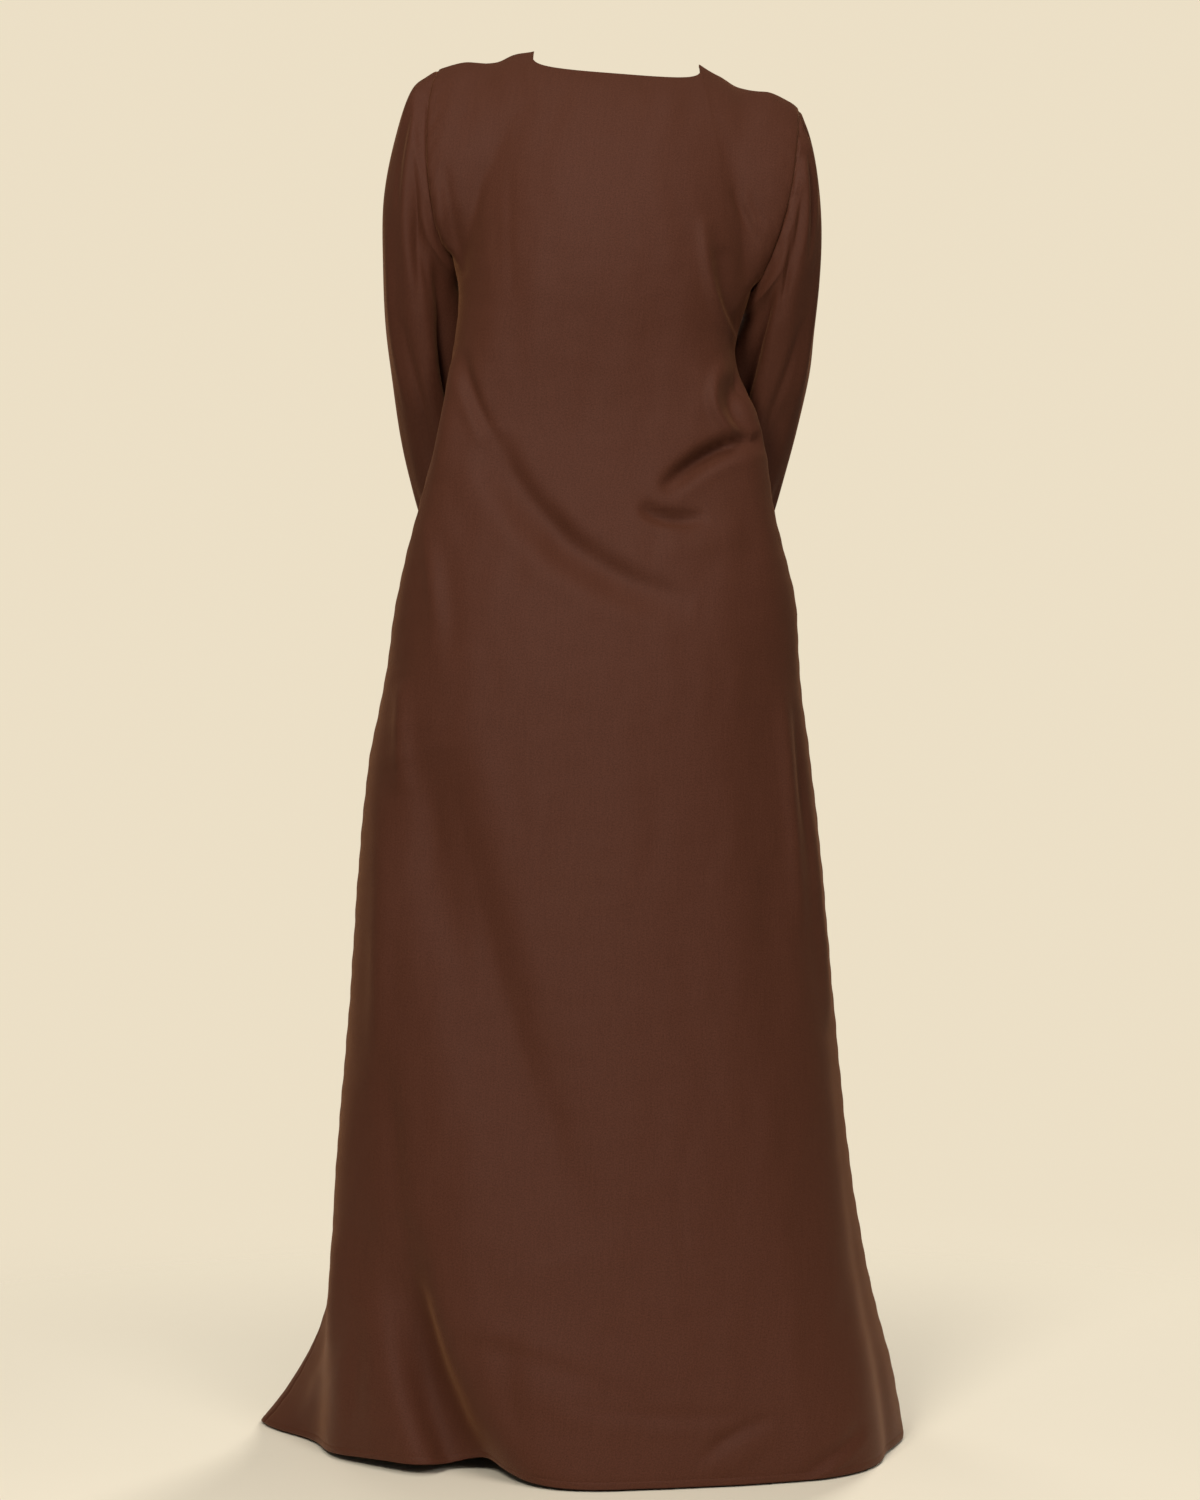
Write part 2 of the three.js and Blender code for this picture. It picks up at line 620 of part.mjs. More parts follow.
// A sleeve's wall, from just outside the armhole seam to the turned cuff
function sleeveGeometry(side) {
  const surface = (angle, row) => foldedSleeve(side, angle, row);
  const last = sleeveSections[side].length;
  const steps = [0];
  for (let r = 1; r <= sleeveRowCount; r += 1) {
    steps.push(((last - cuffTurn * cuffRowStep) * r) / sleeveRowCount);
  }
  steps.push(last - cuffTurn, last);
  const outer = [];
  const inner = [];
  steps.forEach((row, i) => {
    const outerRow = [];
    const innerRow = [];
    for (let c = 0; c < sleeveColumnCount; c += 1) {
      const half = sleeveColumnCount / 2;
      const angle = (Math.PI * c) / half;
      const point = surface(angle, row);
      const panel = c <= half ? "back" : "front";
      const normal = row === 0
        ? armholeFacing(side, panel, Math.abs(c - half) / half)
        : sleeveFacing(surface, side, angle, row);
      if (row === 0) point.x += (side === "left" ? 1 : -1) * seamGap / 2;
      const layers = i >= steps.length - 2 ? hemLayers : 1;
      outerRow.push(point);
      innerRow.push(point.clone().addScaledVector(normal, -clothWall * layers));
    }
    outer.push(outerRow);
    inner.push(innerRow);
  });
  return wallBetween(outer, inner, true);
}

const crepe = { color: 0x5a382b, roughness: 0.62, metalness: 0, side: THREE.DoubleSide };

function piece(name, geometry) {
  const mesh = new THREE.Mesh(geometry, new THREE.MeshStandardMaterial(crepe));
  mesh.name = name;
  return mesh;
}

const abaya = new THREE.Group();
abaya.name = "abaya";
abaya.add(
  piece("back", panelGeometry("back")),
  piece("front", panelGeometry("front")),
  piece("sleeve_left", sleeveGeometry("left")),
  piece("sleeve_right", sleeveGeometry("right")),
);

export default abaya;
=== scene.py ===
# A floor-length abaya of plain crepe in its worn shape, seen from behind.
# Four thin cloth pieces stand on the imported solids' form, with their folds placed one by one.
from math import pi

import bmesh
import bpy
import numpy as np
from mathutils import Euler, Matrix, Vector


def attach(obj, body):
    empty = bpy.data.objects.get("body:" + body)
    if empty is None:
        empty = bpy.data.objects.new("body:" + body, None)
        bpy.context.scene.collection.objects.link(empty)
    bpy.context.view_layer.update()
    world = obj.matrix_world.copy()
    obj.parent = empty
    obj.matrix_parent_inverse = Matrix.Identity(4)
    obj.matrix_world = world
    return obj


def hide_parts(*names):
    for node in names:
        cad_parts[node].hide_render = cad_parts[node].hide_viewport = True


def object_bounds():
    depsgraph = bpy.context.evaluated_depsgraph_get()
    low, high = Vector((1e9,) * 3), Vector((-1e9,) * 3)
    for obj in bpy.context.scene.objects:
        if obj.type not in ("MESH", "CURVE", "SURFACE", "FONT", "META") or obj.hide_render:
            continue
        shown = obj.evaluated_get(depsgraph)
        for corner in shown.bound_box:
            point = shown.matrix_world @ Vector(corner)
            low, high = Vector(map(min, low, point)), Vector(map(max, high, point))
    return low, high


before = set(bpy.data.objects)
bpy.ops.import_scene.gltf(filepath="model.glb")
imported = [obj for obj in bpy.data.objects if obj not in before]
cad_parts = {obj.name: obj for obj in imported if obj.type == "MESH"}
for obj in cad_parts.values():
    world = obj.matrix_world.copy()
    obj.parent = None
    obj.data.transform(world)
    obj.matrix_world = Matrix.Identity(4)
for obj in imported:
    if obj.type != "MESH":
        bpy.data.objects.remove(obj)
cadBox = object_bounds()
print("frame loaded")

mm = 0.001  # the tables of the cut and the folds are in millimetres


# Body: the form shared by the back and the front
body = {
    "floor": -1445,
    "armpitDip": 45,  # how much lower the row at the armholes runs across the panel
    "dipShare": 0.14,
    "armholeSpread": (0.08, 0.32),  # share of the columns that an armhole draws, armpit and top
    "overShoulder": (0.9, 0.42),  # level and rise of the cloth where it meets the shoulder line
    "backPower": 2.3,
    "neckline": {"back": (23, 3.6), "front": (126, 2.6)},  # drop and squareness
    "shoulderShare": {"back": 2 / 9, "front": 5 / 22},  # of the columns, from side seam to neck corner
    "shoulderRound": 0.13,  # share of the columns over which the surface rounds those corners off
    "roundUpTo": 7,  # the higher, the nearer the top the corners begin to show
    "shoulderPoint": {"left": (188, 0, -14), "right": (-191, 0, -56)},
    "neckPoint": {"left": (87, 0, 7), "right": (-86, 0, -7)},
    # how the shoulder seams rise and dip: share of the way from the shoulder point to the neck, rise
    "shoulderLine": {
        "left": [(0, 0), (0.26, 3.6), (0.6, -4), (0.78, 0), (1, 0)],
        "right": [(0, 0), (0.1, 4), (0.2, 6), (0.3, 5), (0.41, 1), (0.6, -5.5), (0.74, -4), (1, 0)],
    },
    "hemLifts": [(42, 22, 9), (24, 9, 8)],  # angle, half width and rise of the hem
    "sectionColumns": ["z", "left", "right", "back", "front", "seamLeft", "seamRight", "frontPower"],
    "sections": [
        (-180, 178, -162, 110, -104, 0, 0, 2.1),
        (-208, 173, -152, 113, -112, 2, 2, 2.1),
        (-250, 165, -139, 112, -121, 12, 8, 1.95),
        (-318, 170, -122, 104, -120, 30, 28, 1.8),
        (-390, 181, -147, 99, -114, 45, 40, 1.75),
        (-485, 207, -163, 110, -115, 40, 36, 1.85),
        (-569, 228, -184, 131, -119, 25, 22, 2.0),
        (-653, 241, -190, 146, -124, 12, 12, 2.1),
        (-737, 258, -201, 153, -129, 6, 6, 2.2),
        (-842, 269, -213, 162, -137, 2, 2, 2.2),
        (-989, 279, -226, 178, -151, 0, 0, 2.2),
        (-1157, 293, -243, 199, -169, -4, 0, 2.2),
        (-1283, 299, -263, 216, -183, -10, 2, 2.2),
        (-1367, 303, -282, 227, -193, -26, 6, 2.2),
        (-1420, 305, -290, 233, -200, -44, 10, 2.2),
        (-1445, 306, -292, 234, -203, -52, 12, 2.2),
    ],
    "armholeColumns": ["t", "x", "z", "behind", "before"],
    "armholes": {
        "left": [
            (0.0, 173, -208, 2, 2),
            (0.15, 181, -199, 26, -24),
            (0.35, 190, -172, 45, -42),
            (0.6, 197, -118, 50, -46),
            (0.8, 197, -66, 38, -36),
            (0.93, 193, -30, 18, -18),
            (1.0, 188, -14, 0, 0),
        ],
        "right": [
            (0.0, -140, -244, 7, 7),
            (0.15, -149, -234, 27, -18),
            (0.35, -165, -200, 45, -40),
            (0.6, -180, -148, 50, -46),
            (0.8, -187, -98, 38, -36),
            (0.93, -190, -68, 18, -18),
            (1.0, -191, -56, 0, 0),
        ],
    },
    # waves of the skirt: angle at hem and top, top height, half width in degrees, depth at the hem, lateness
    "flutes": [
        (94, 100, -1262, 13, 76, 0.9),
        (64, 72, -1000, 12, 16, 0.6),
        (24, 60, -1170, 9, -43, 0.4),
        (4, 10, -1230, 9, 10, 0.6),
        (128, 122, -780, 13, 30, 1.3),
        (150, 148, -700, 10, -26, 1.3),
        (176, 172, -640, 15, 26, 1.2),
        (205, 204, -760, 11, -24, 1.3),
        (232, 236, -820, 13, 26, 1.3),
        (-98, -94, -1150, 12, 10, 1.2),
        (-74, -80, -650, 9, -8, 0.8),
        (-48, -60, -1000, 16, 10, 1.0),
    ],
}


def ease(a, b, value):
    t = np.clip((value - a) / (b - a), 0, 1)
    return t * t * (3 - 2 * t)


def mix(a, b, share):
    return a + (b - a) * share


def signedPower(value, power):
    return np.sign(value) * np.abs(value) ** power


def smoothThrough(times, values, at):  # values at rising times, joined by a smooth curve
    tall = (slice(None),) + (None,) * (values.ndim - 1)
    slopes = np.empty_like(values)
    slopes[1:-1] = (values[2:] - values[:-2]) / (times[2:] - times[:-2])[tall]
    slopes[0] = (values[1] - values[0]) / (times[1] - times[0])
    slopes[-1] = (values[-1] - values[-2]) / (times[-1] - times[-2])
    at = np.clip(at, times[0], times[-1])
    i = np.clip(np.searchsorted(times, at, side="right") - 1, 0, len(times) - 2)
    wide = at.shape + (1,) * (values.ndim - 1)
    span = (times[i + 1] - times[i]).reshape(wide)
    t = (at - times[i]).reshape(wide) / span
    start = (1 + 2 * t) * (1 - t) ** 2 * values[i] + t * (1 - t) ** 2 * span * slopes[i]
    return start + t * t * (3 - 2 * t) * values[i + 1] + t * t * (t - 1) * span * slopes[i + 1]


def along(rows, column, at):  # a column of a table at a value of its first column
    table = np.array([(row[0], row[column]) for row in rows], float)
    if table[0, 0] > table[-1, 0]:
        table = table[::-1]
    return smoothThrough(table[:, 0], table[:, 1], np.asarray(at, float))


def stacked(x, y, z):
    return np.stack(np.broadcast_arrays(x, y, z), axis=-1).astype(float)


def unit(vectors):
    return vectors / np.maximum(np.linalg.norm(vectors, axis=-1, keepdims=True), 1e-9)


def hemHeight(angle):
    height = np.full_like(angle, body["floor"])
    for centre, width, rise in body["hemLifts"]:
        height = height + rise * np.exp(-(((np.degrees(angle) - centre) / width) ** 2))
    return height


def plainSection(angle, z):
    names = body["sectionColumns"]
    read = {name: along(body["sections"], i, z) for i, name in enumerate(names) if i}
    sine, cosine = np.sin(angle), np.cos(angle)
    power = 2 / np.where(cosine >= 0, body["backPower"], read["frontPower"])
    seam = np.where(sine >= 0, read["seamLeft"], read["seamRight"])
    depth = np.where(cosine >= 0, read["back"], read["front"])
    halfWidth = (read["left"] - read["right"]) / 2
    x = (read["left"] + read["right"]) / 2 + halfWidth * signedPower(sine, power)
    return stacked(x, seam + (depth - seam) * np.abs(cosine) ** power, z)


def fluteHeight(angle, z):
    height = np.zeros(np.broadcast(angle, z).shape)
    for hemAngle, topAngle, topZ, width, out, late in body["flutes"]:
        grown = np.clip((topZ - z) / (topZ - body["floor"]), 0, 1)
        away = (np.degrees(angle) - mix(topAngle, hemAngle, grown) + 540) % 360 - 180
        height = height + out * grown ** (1 + late) * np.exp(-((away / width) ** 2))
    return height


def skirt(angle, z):
    turn = 0.02
    run = plainSection(angle + turn, z) - plainSection(angle - turn, z)
    outward = unit(stacked(-run[..., 1], run[..., 0], 0))
    facing = outward[..., 0] * np.sin(angle) + outward[..., 1] * np.cos(angle)
    outward = outward * np.where(facing < 0, -1, 1)[..., None]
    return plainSection(angle, z) + outward * fluteHeight(angle, z)[..., None]


def armhole(side, half, t):
    rows = body["armholes"][side]
    columns = body["armholeColumns"]
    return stacked(along(rows, 1, t), along(rows, columns.index(half), t), along(rows, 2, t))


def hermite(curve, v):
    v = v[..., None]
    end = mix(curve["endRound"], curve["end"], v ** body["roundUpTo"])
    ends = (1 + 2 * v) * (1 - v) ** 2 * curve["start"] + v * v * (3 - 2 * v) * end
    return ends + v * (1 - v) ** 2 * curve["startPull"] + v * v * (v - 1) * curve["endPull"]


def panelAngle(panel, u):
    return np.radians(90 - 180 * u if panel == "back" else 90 + 180 * u)


def armpitRow(u):
    left = body["armholes"]["left"][0][2]
    right = body["armholes"]["right"][0][2]
    inside = ease(0, body["dipShare"], u) * ease(0, body["dipShare"], 1 - u)
    return mix(left, right, u) - body["armpitDip"] * inside


def shoulderEnds(panel, u):  # the line along the shoulder seams and straight across the neck
    share = body["shoulderShare"][panel]
    overNeck = np.clip((u - share) / (1 - 2 * share), 0, 1)
    neckLeft, neckRight = (np.array(body["neckPoint"][side], float) for side in ("left", "right"))
    tipLeft, tipRight = (np.array(body["shoulderPoint"][side], float) for side in ("left", "right"))
    end = mix(neckLeft, neckRight, overNeck[:, None])
    end = np.where((u < share)[:, None], mix(tipLeft, end, (u / share)[:, None]), end)
    end = np.where((u > 1 - share)[:, None], mix(tipRight, end, ((1 - u) / share)[:, None]), end)
    end[:, 2] += along(body["shoulderLine"]["left"], 1, np.minimum(u / share, 1))
    end[:, 2] += along(body["shoulderLine"]["right"], 1, np.minimum((1 - u) / share, 1))
    return end, overNeck


def yokeCurve(panel, u):  # columns of the yoke from the armpit row over the shoulder to the neckline
    angle = panelAngle(panel, u)
    z = armpitRow(u)
    end, overNeck = shoulderEnds(panel, u)
    reach = body["shoulderRound"] * ease(0, 2 * body["shoulderRound"], np.minimum(u, 1 - u))
    nearby = [shoulderEnds(panel, np.clip(u + step * reach, 0, 1))[0] for step in np.linspace(-1, 1, 9)]
    start = skirt(angle, z)
    climb = np.linalg.norm(end - start, axis=-1, keepdims=True)
    startPull = unit(skirt(angle, z + 6) - skirt(angle, z - 6)) * climb
    level, rise = body["overShoulder"]
    forward = -level if panel == "back" else level
    endPull = unit(np.array([0, forward, rise])) * climb
    curve = {"start": start, "startPull": startPull, "end": end, "endPull": endPull}
    curve["endRound"] = np.mean(nearby, axis=0)
    drop, power = body["neckline"][panel]
    neckHeight = end[:, 2] - drop * (1 - np.abs(2 * overNeck - 1) ** power) ** (1 / power)
    low, top = np.zeros_like(u), np.ones_like(u)
    for _ in range(24):
        middle = (low + top) / 2
        below = hermite(curve, middle)[:, 2] < neckHeight
        low = np.where(below, middle, low)
        top = np.where(below, top, middle)
    curve["top"] = np.where(neckHeight < end[:, 2], top, 1)
    return curve


def yoke(panel, u, v):
    half = "behind" if panel == "back" else "before"
    curve = yokeCurve(panel, u)
    sides = yokeCurve(panel, np.array([0.0, 1.0]))
    atSides = [hermite({name: value[i] for name, value in sides.items()}, v) for i in (0, 1)]
    spread = mix(*body["armholeSpread"], v)[:, None]
    toLeft = armhole("left", half, v) - atSides[0]
    toRight = armhole("right", half, v) - atSides[1]
    surface = hermite(curve, v[:, None] * curve["top"][None, :])
    surface = surface + toLeft[:, None, :] * (1 - ease(0, spread, u[None, :]))[..., None]
    return surface + toRight[:, None, :] * (1 - ease(0, spread, 1 - u[None, :]))[..., None]


def plainPanel(panel, u, v):  # a grid of points: rows of v from hem (0) to armpit (1) to top (2)
    angle = panelAngle(panel, u)
    low = v[v < 1]
    z = mix(hemHeight(angle)[None, :], armpitRow(u)[None, :], low[:, None])
    below = skirt(np.broadcast_to(angle, z.shape), z)
    return np.concatenate([below, yoke(panel, u, v[v >= 1] - 1)])


def surfaceNormals(points, outward):
    across = np.gradient(points, axis=1)
    up = np.gradient(points, axis=0)
    return unit(np.cross(across, up)) * outward


# Folds of the panels: x and z of a bent line's start, of the point that pulls it and of its end,
# half width, depth (troughs are negative), the ridge beside it as a share of the depth, and how much
# wider one side is than the other. Both are positive on the left of the way along the line, with x
# running to the right and z up, as it is seen from in front
panelFolds = {
    "back": [
        (160, -314, 149, -372, 122, -414, 7, -5, 0.4, 0.2),  # from under the left arm
        (128, -404, 76, -536, -78, -578, 20, -15, 0.3, 0.35),  # the long sweep over the seat
        (170, -310, 172, -387, 184, -449, 14, 6, 0, 0),
        (-87, -182, -86, -277, -132, -307, 7, 6, 0, -0.3),  # the right shoulder blade's pull
        (-108, -211, -108, -283, -140, -297, 11, -7, 0, 0),
        (-112, -326, -72, -380, -138, -417, 7, 7, 0, -0.2),
        (-140, -332, -101, -374, -144, -399, 11, -11, 0, 0),
        (-152, -406, -96, -408, -44, -462, 9.5, -20, -0.2, -0.3),  # the hook at the right waist
        (-24, -477, -44, -498, -92, -489, 7.5, -12, 0.2, 0),
        (-40, -520, -80, -528, -130, -500, 16, 4, 0, 0),
        (110, -122, 112, -197, 107, -268, 5, -1.1, 0, 0),
        (134, -90, 136, -184, 130, -266, 9, 1.3, 0, 0),
        (60, -90, 64, -170, 58, -250, 16, 0.7, 0, 0),
        (-52, -110, -60, -200, -54, -300, 18, -0.8, 0, 0),
        (182, -120, 172, -182, 160, -240, 8, -5, 0, 0),
        (-119, -147, -128, -178, -146, -203, 5, -2.2, 0.4, 0),
        (-136, -150, -143, -172, -154, -190, 4, -2, 0.4, 0),
        (199, -480, 190, -543, 182, -610, 9, 3.6, 0, 0),  # the left hip
        (177, -502, 169, -564, 167, -630, 12, -2.6, 0, 0),
        (221, -655, 219, -706, 223, -768, 9, 6, 0, 0),
        (203, -700, 200, -828, 170, -940, 26, -8, 0, 0),
        (186, -725, 136, -946, 34, -1220, 48, -15, 0.12, 0.4),  # the long trough down the left thigh
        (247, -770, 235, -930, 248, -1070, 12, 5, 0, 0),
        (233, -1040, 225, -1138, 221, -1215, 14, -5, 0, 0),
        (-169, -660, -178, -778, -188, -915, 7, 5, 0, 0),  # the right edge
        (-183, -680, -192, -778, -201, -868, 5, -4, 0, 0),
        (-195, -770, -208, -892, -219, -1010, 6, 4.5, 0, 0),
        (-142, -560, -153, -808, -160, -1070, 22, -5, 0, 0),
        (-20, -640, 10, -900, -30, -1180, 40, 3, 0, 0),
        (218, -1190, 212, -1390, 104, -1530, 19, -21, 0.1, -0.2),  # the trough at the hem
        (111, -1300, 109, -1348, 100, -1400, 13, -4, 0, 0),
        (190, -1296, 106, -1290, -30, -1352, 15, 3, 0, -0.3),  # the cloth breaks over the floor
        (150, -1330, 60, -1350, -10, -1400, 26, 4, 0, 0),
        (-53, -1150, -61, -1190, -64, -1236, 3.2, -1.8, 0.6, 0),
        (-80, -1424, -107, -1390, -156, -1384, 6, -4.5, 0.5, 0),
        (-96, -1436, -122, -1414, -150, -1404, 7, 2.5, 0, 0),
        (-178, -1440, -214, -1428, -246, -1404, 6, -4, 0.5, 0),
        (57, -1363, -41, -1386, -139, -1376, 7, -1.6, 0.4, 0),
        (-160, -1180, -178, -1290, -176, -1390, 14, 3, 0, 0),
        (289, -1225, 287, -1290, 300, -1350, 8, 5, 0, 0),  # the flare at the left
        (300, -1340, 312, -1388, 332, -1430, 8, 4, 0, 0),
        (303, -1312, 309, -1352, 320, -1380, 7, -3.5, 0, 0),
        (262, -1290, 262, -1370, 280, -1435, 12, -4, 0, 0),
    ],
    "front": [
        (96, -150, 60, -260, 20, -330, 18, -9.5, 0, 0),  # from the arms to below the bust
        (-90, -160, -58, -270, -10, -345, 18, -9.5, 0, 0),
        (150, -190, 120, -250, 84, -300, 8, -5.4, 0.5, 0.2),
        (-128, -200, -100, -262, -70, -306, 8, -5.4, -0.5, 0.2),
        (60, -330, 66, -400, 52, -470, 10, 5.4, 0, 0),
        (-46, -336, -52, -410, -40, -476, 11, 5.4, 0, 0),
        (150, -300, 110, -430, 10, -520, 20, -13.5, 0.35, 0.2),
        (140, -340, 118, -410, 82, -452, 8, -6.8, 0.5, 0),
        (-112, -310, -70, -440, 30, -560, 20, -12.2, -0.35, 0.2),
        (-110, -352, -92, -408, -62, -446, 8, -6.8, -0.5, 0),
        (30, -520, 10, -548, -40, -560, 10, -5.4, 0.4, 0),
        (172, -470, 176, -560, 170, -650, 12, 6.8, 0, 0),
        (-140, -480, -146, -570, -142, -660, 12, 6.8, 0, 0),
        (120, -640, 90, -900, 60, -1180, 34, -16.2, 0.3, 0.3),
        (-120, -660, -110, -920, -96, -1210, 34, -16.2, -0.3, -0.3),
        (10, -700, 0, -960, -14, -1240, 40, 10.8, 0, 0),
        (170, -760, 178, -930, 190, -1120, 14, 6.8, 0, 0),
        (-168, -740, -176, -900, -190, -1100, 14, 6.8, 0, 0),
        (56, -820, 46, -1010, 50, -1200, 16, 5.4, 0, 0),
        (-60, -900, -52, -1060, -58, -1230, 15, -5.4, 0, 0),
        (120, -1330, 40, -1356, -40, -1350, 14, 5.4, 0, 0.3),
        (-60, -1380, -110, -1352, -170, -1346, 11, -5.4, 0.4, 0),
        (-20, -1424, 20, -1400, 70, -1396, 7, -4.1, 0.4, 0),
        (24, -1120, 30, -1150, 30, -1200, 3.4, -2.2, 0.5, 0),
    ],
}

# The cloth's slow unevenness: height, wave lengths across and up, phase
clothWaves = [
    (0.55, 74, 410, 0.4),
    (0.4, 47, 260, 2.1),
    (0.28, 33, 150, 4.0),
    (0.3, 190, 58, 1.2),
    (0.16, 61, 27, 5.1),
]


def waveHeight(x, z):
    height = np.zeros_like(x)
    for size, across, up, phase in clothWaves:
        bend = np.sin(2 * pi * z / up + phase)
        height += size * np.sin(2 * pi * x / across + 1.7 * bend + phase) * (0.6 + 0.4 * bend)
    return height


# A fold: steps along its line, how quickly it grows from its ends, and, in half widths, how far it is
# felt, how far away its ridge lies and how wide that is
fold = {"steps": 18, "fade": 0.6, "reach": 5, "ridgeAway": 1.7, "ridgeWidth": 0.9}


def foldHeight(folds, x, z):
    height = np.zeros_like(x)
    steps = fold["steps"]
    t = np.linspace(0, 1, steps + 1)
    for x0, z0, x1, z1, x2, z2, width, depth, ridge, lean in folds:
        lineX = (1 - t) ** 2 * x0 + 2 * t * (1 - t) * x1 + t * t * x2
        lineZ = (1 - t) ** 2 * z0 + 2 * t * (1 - t) * z1 + t * t * z2
        reach = fold["reach"] * width
        near = (x > lineX.min() - reach) & (x < lineX.max() + reach)
        near &= (z > lineZ.min() - reach) & (z < lineZ.max() + reach)
        if not near.any():
            continue
        px, pz = x[near], z[near]
        best, place, left = np.full(px.shape, np.inf), np.zeros_like(px), np.zeros_like(px)
        for i in range(steps):
            runX, runZ = lineX[i + 1] - lineX[i], lineZ[i + 1] - lineZ[i]
            s = np.clip(((px - lineX[i]) * runX + (pz - lineZ[i]) * runZ) / (runX**2 + runZ**2), 0, 1)
            offX, offZ = px - lineX[i] - s * runX, pz - lineZ[i] - s * runZ
            distance = np.hypot(offX, offZ)
            closer = distance < best
            best = np.where(closer, distance, best)
            place = np.where(closer, (i + s) / steps, place)
            left = np.where(closer, np.sign(runX * offZ - runZ * offX) * distance, left)
        length = np.sin(pi * np.clip(place, 0.001, 0.999)) ** fold["fade"]
        wide = width * np.where(left > 0, 1 + lean, 1 - lean)
        beside = (left / width - fold["ridgeAway"] * np.sign(ridge)) / fold["ridgeWidth"]
        trough = np.exp(-((best / wide) ** 2))
        height[near] += depth * length * (trough - abs(ridge) * np.exp(-(beside**2)))
    return height


# Back and front panels
panel = {
    "columns": {"back": 144, "front": 132},  # across; the neck corners fall on a column
    "closeColumns": (0.0016, 0.0034, 0.0054),  # more of them beside the seams and the neck corners
    "skirtRows": 212,
    "yokeRows": 64,
    "closeRows": (0.006, 0.011),  # and beside the shoulder seams and the neckline
    "cloth": 0.7,  # thickness of one layer
    "hemTurn": 9,
    "hemRows": (0, 1.2, 3.6, 5.9, 6.6, 7.1, 7.6, 8.3, 9.0, 9.6, 13),  # rows at the hem, in mm above its edge
    "hemStitch": 7.1,
    "skirtFrom": 18,  # how far above the hem the even rows of the skirt begin
    "foldsFree": 0.07,  # share of the columns over which the folds grow from the side seams
    "foldsEnd": 1.85,  # where they begin to fade, with the armpit at 1 and the shoulder seams at 2
    "atArm": 0.06,  # share of the rows each way of the armpit where the side seam lies flat
    "seamShut": 3,  # neckline, shoulder and hem relief fade out this near the side seams
    "area": {"back": 0.86, "front": 0.83},  # flat area of each cut piece, in square metres
    "flat": {"back": (0.96, 1.51), "front": (0.92, 1.51)},
}


# Relief beside a seam: the cloth rises from it, and puckers along it
seam = {"rise": 1.5, "near": 1.9, "far": 16, "pucker": 0.22, "every": 27}


def seamRelief(away, run):
    rise = seam["rise"] * (1 - np.exp(-((away / seam["near"]) ** 2))) * np.exp(-((away / seam["far"]) ** 2))
    waver = np.sin(2 * pi * run / seam["every"]) + 0.6 * np.sin(2 * pi * run / (2.7 * seam["every"]) + 1)
    return rise * (1 + seam["pucker"] * waver)


# Relief of a turned edge: how far it rolls in and over what width, the stitch groove, the turn below it
edge = {"roll": 0.9, "rollWidth": 1.3, "groove": 0.32, "grooveWidth": 0.8, "stand": 0.15, "hemRoll": 0.4}


def edgeRelief(away):  # a turned edge, rolled in a little
    return -edge["roll"] * np.exp(-((away / edge["rollWidth"]) ** 2))


def hemRelief(away, stitch):  # the stitch line draws the turned cloth in, and the turn stands out below it
    groove = -edge["groove"] * np.exp(-(((away - stitch) / edge["grooveWidth"]) ** 2))
    stand = edge["stand"] * np.exp(-(((away - 0.5 * stitch) / (0.4 * stitch)) ** 2))
    return groove + stand + edgeRelief(away) * edge["hemRoll"]


def panelRows():
    height = -body["floor"]
    hem = np.array(panel["hemRows"]) / height
    skirtPart = np.linspace(panel["skirtFrom"] / height, 1, panel["skirtRows"], endpoint=False)
    close = 2 - np.array(panel["closeRows"])
    return np.unique(np.concatenate([hem, skirtPart, np.linspace(1, 2, panel["yokeRows"] + 1), close]))


def panelColumns(name):
    share = body["shoulderShare"][name]
    close = np.array(panel["closeColumns"])
    beside = [close, 1 - close, share + close, share - close, 1 - share + close, 1 - share - close]
    return np.unique(np.concatenate([np.linspace(0, 1, panel["columns"][name] + 1), *beside]).round(6))


def foldedPanel(name):
    outward = 1 if name == "back" else -1
    u = panelColumns(name)
    v = panelRows()
    points = plainPanel(name, u, v)
    normals = surfaceNormals(points, outward)
    free = ease(0, panel["foldsFree"], u) * ease(0, panel["foldsFree"], 1 - u)
    atArm = np.exp(-(((v - 1) / panel["atArm"]) ** 2))[:, None]
    free = free[None, :] * (1 - ease(panel["foldsEnd"], 2, v))[:, None]
    x, z = points[..., 0], points[..., 2]
    height = (foldHeight(panelFolds[name], x, z) + waveHeight(x, z)) * free
    steps = np.linalg.norm(np.diff(points, axis=1), axis=-1)
    fromLeft = np.concatenate([np.zeros((len(v), 1)), np.cumsum(steps, axis=1)], axis=1)
    rise = np.linalg.norm(np.diff(points, axis=0), axis=-1)
    fromHem = np.concatenate([np.zeros((1, len(u))), np.cumsum(rise, axis=0)])
    fromTop = fromHem[-1:] - fromHem
    share = body["shoulderShare"][name]
    atNeck = ((u > share) & (u < 1 - share))[None, :]
    sides = seamRelief(fromLeft, fromHem) + seamRelief(fromLeft[:, -1:] - fromLeft, fromHem)
    height += sides * (1 - atArm)
    fromSide = np.minimum(fromLeft, fromLeft[:, -1:] - fromLeft)
    shut = 1 - np.exp(-((fromSide / panel["seamShut"]) ** 2))
    height += np.where(atNeck, edgeRelief(fromTop), seamRelief(fromTop, fromLeft)) * shut
    height += hemRelief(fromHem, panel["hemStitch"]) * shut
    return points + normals * height[..., None], u, v


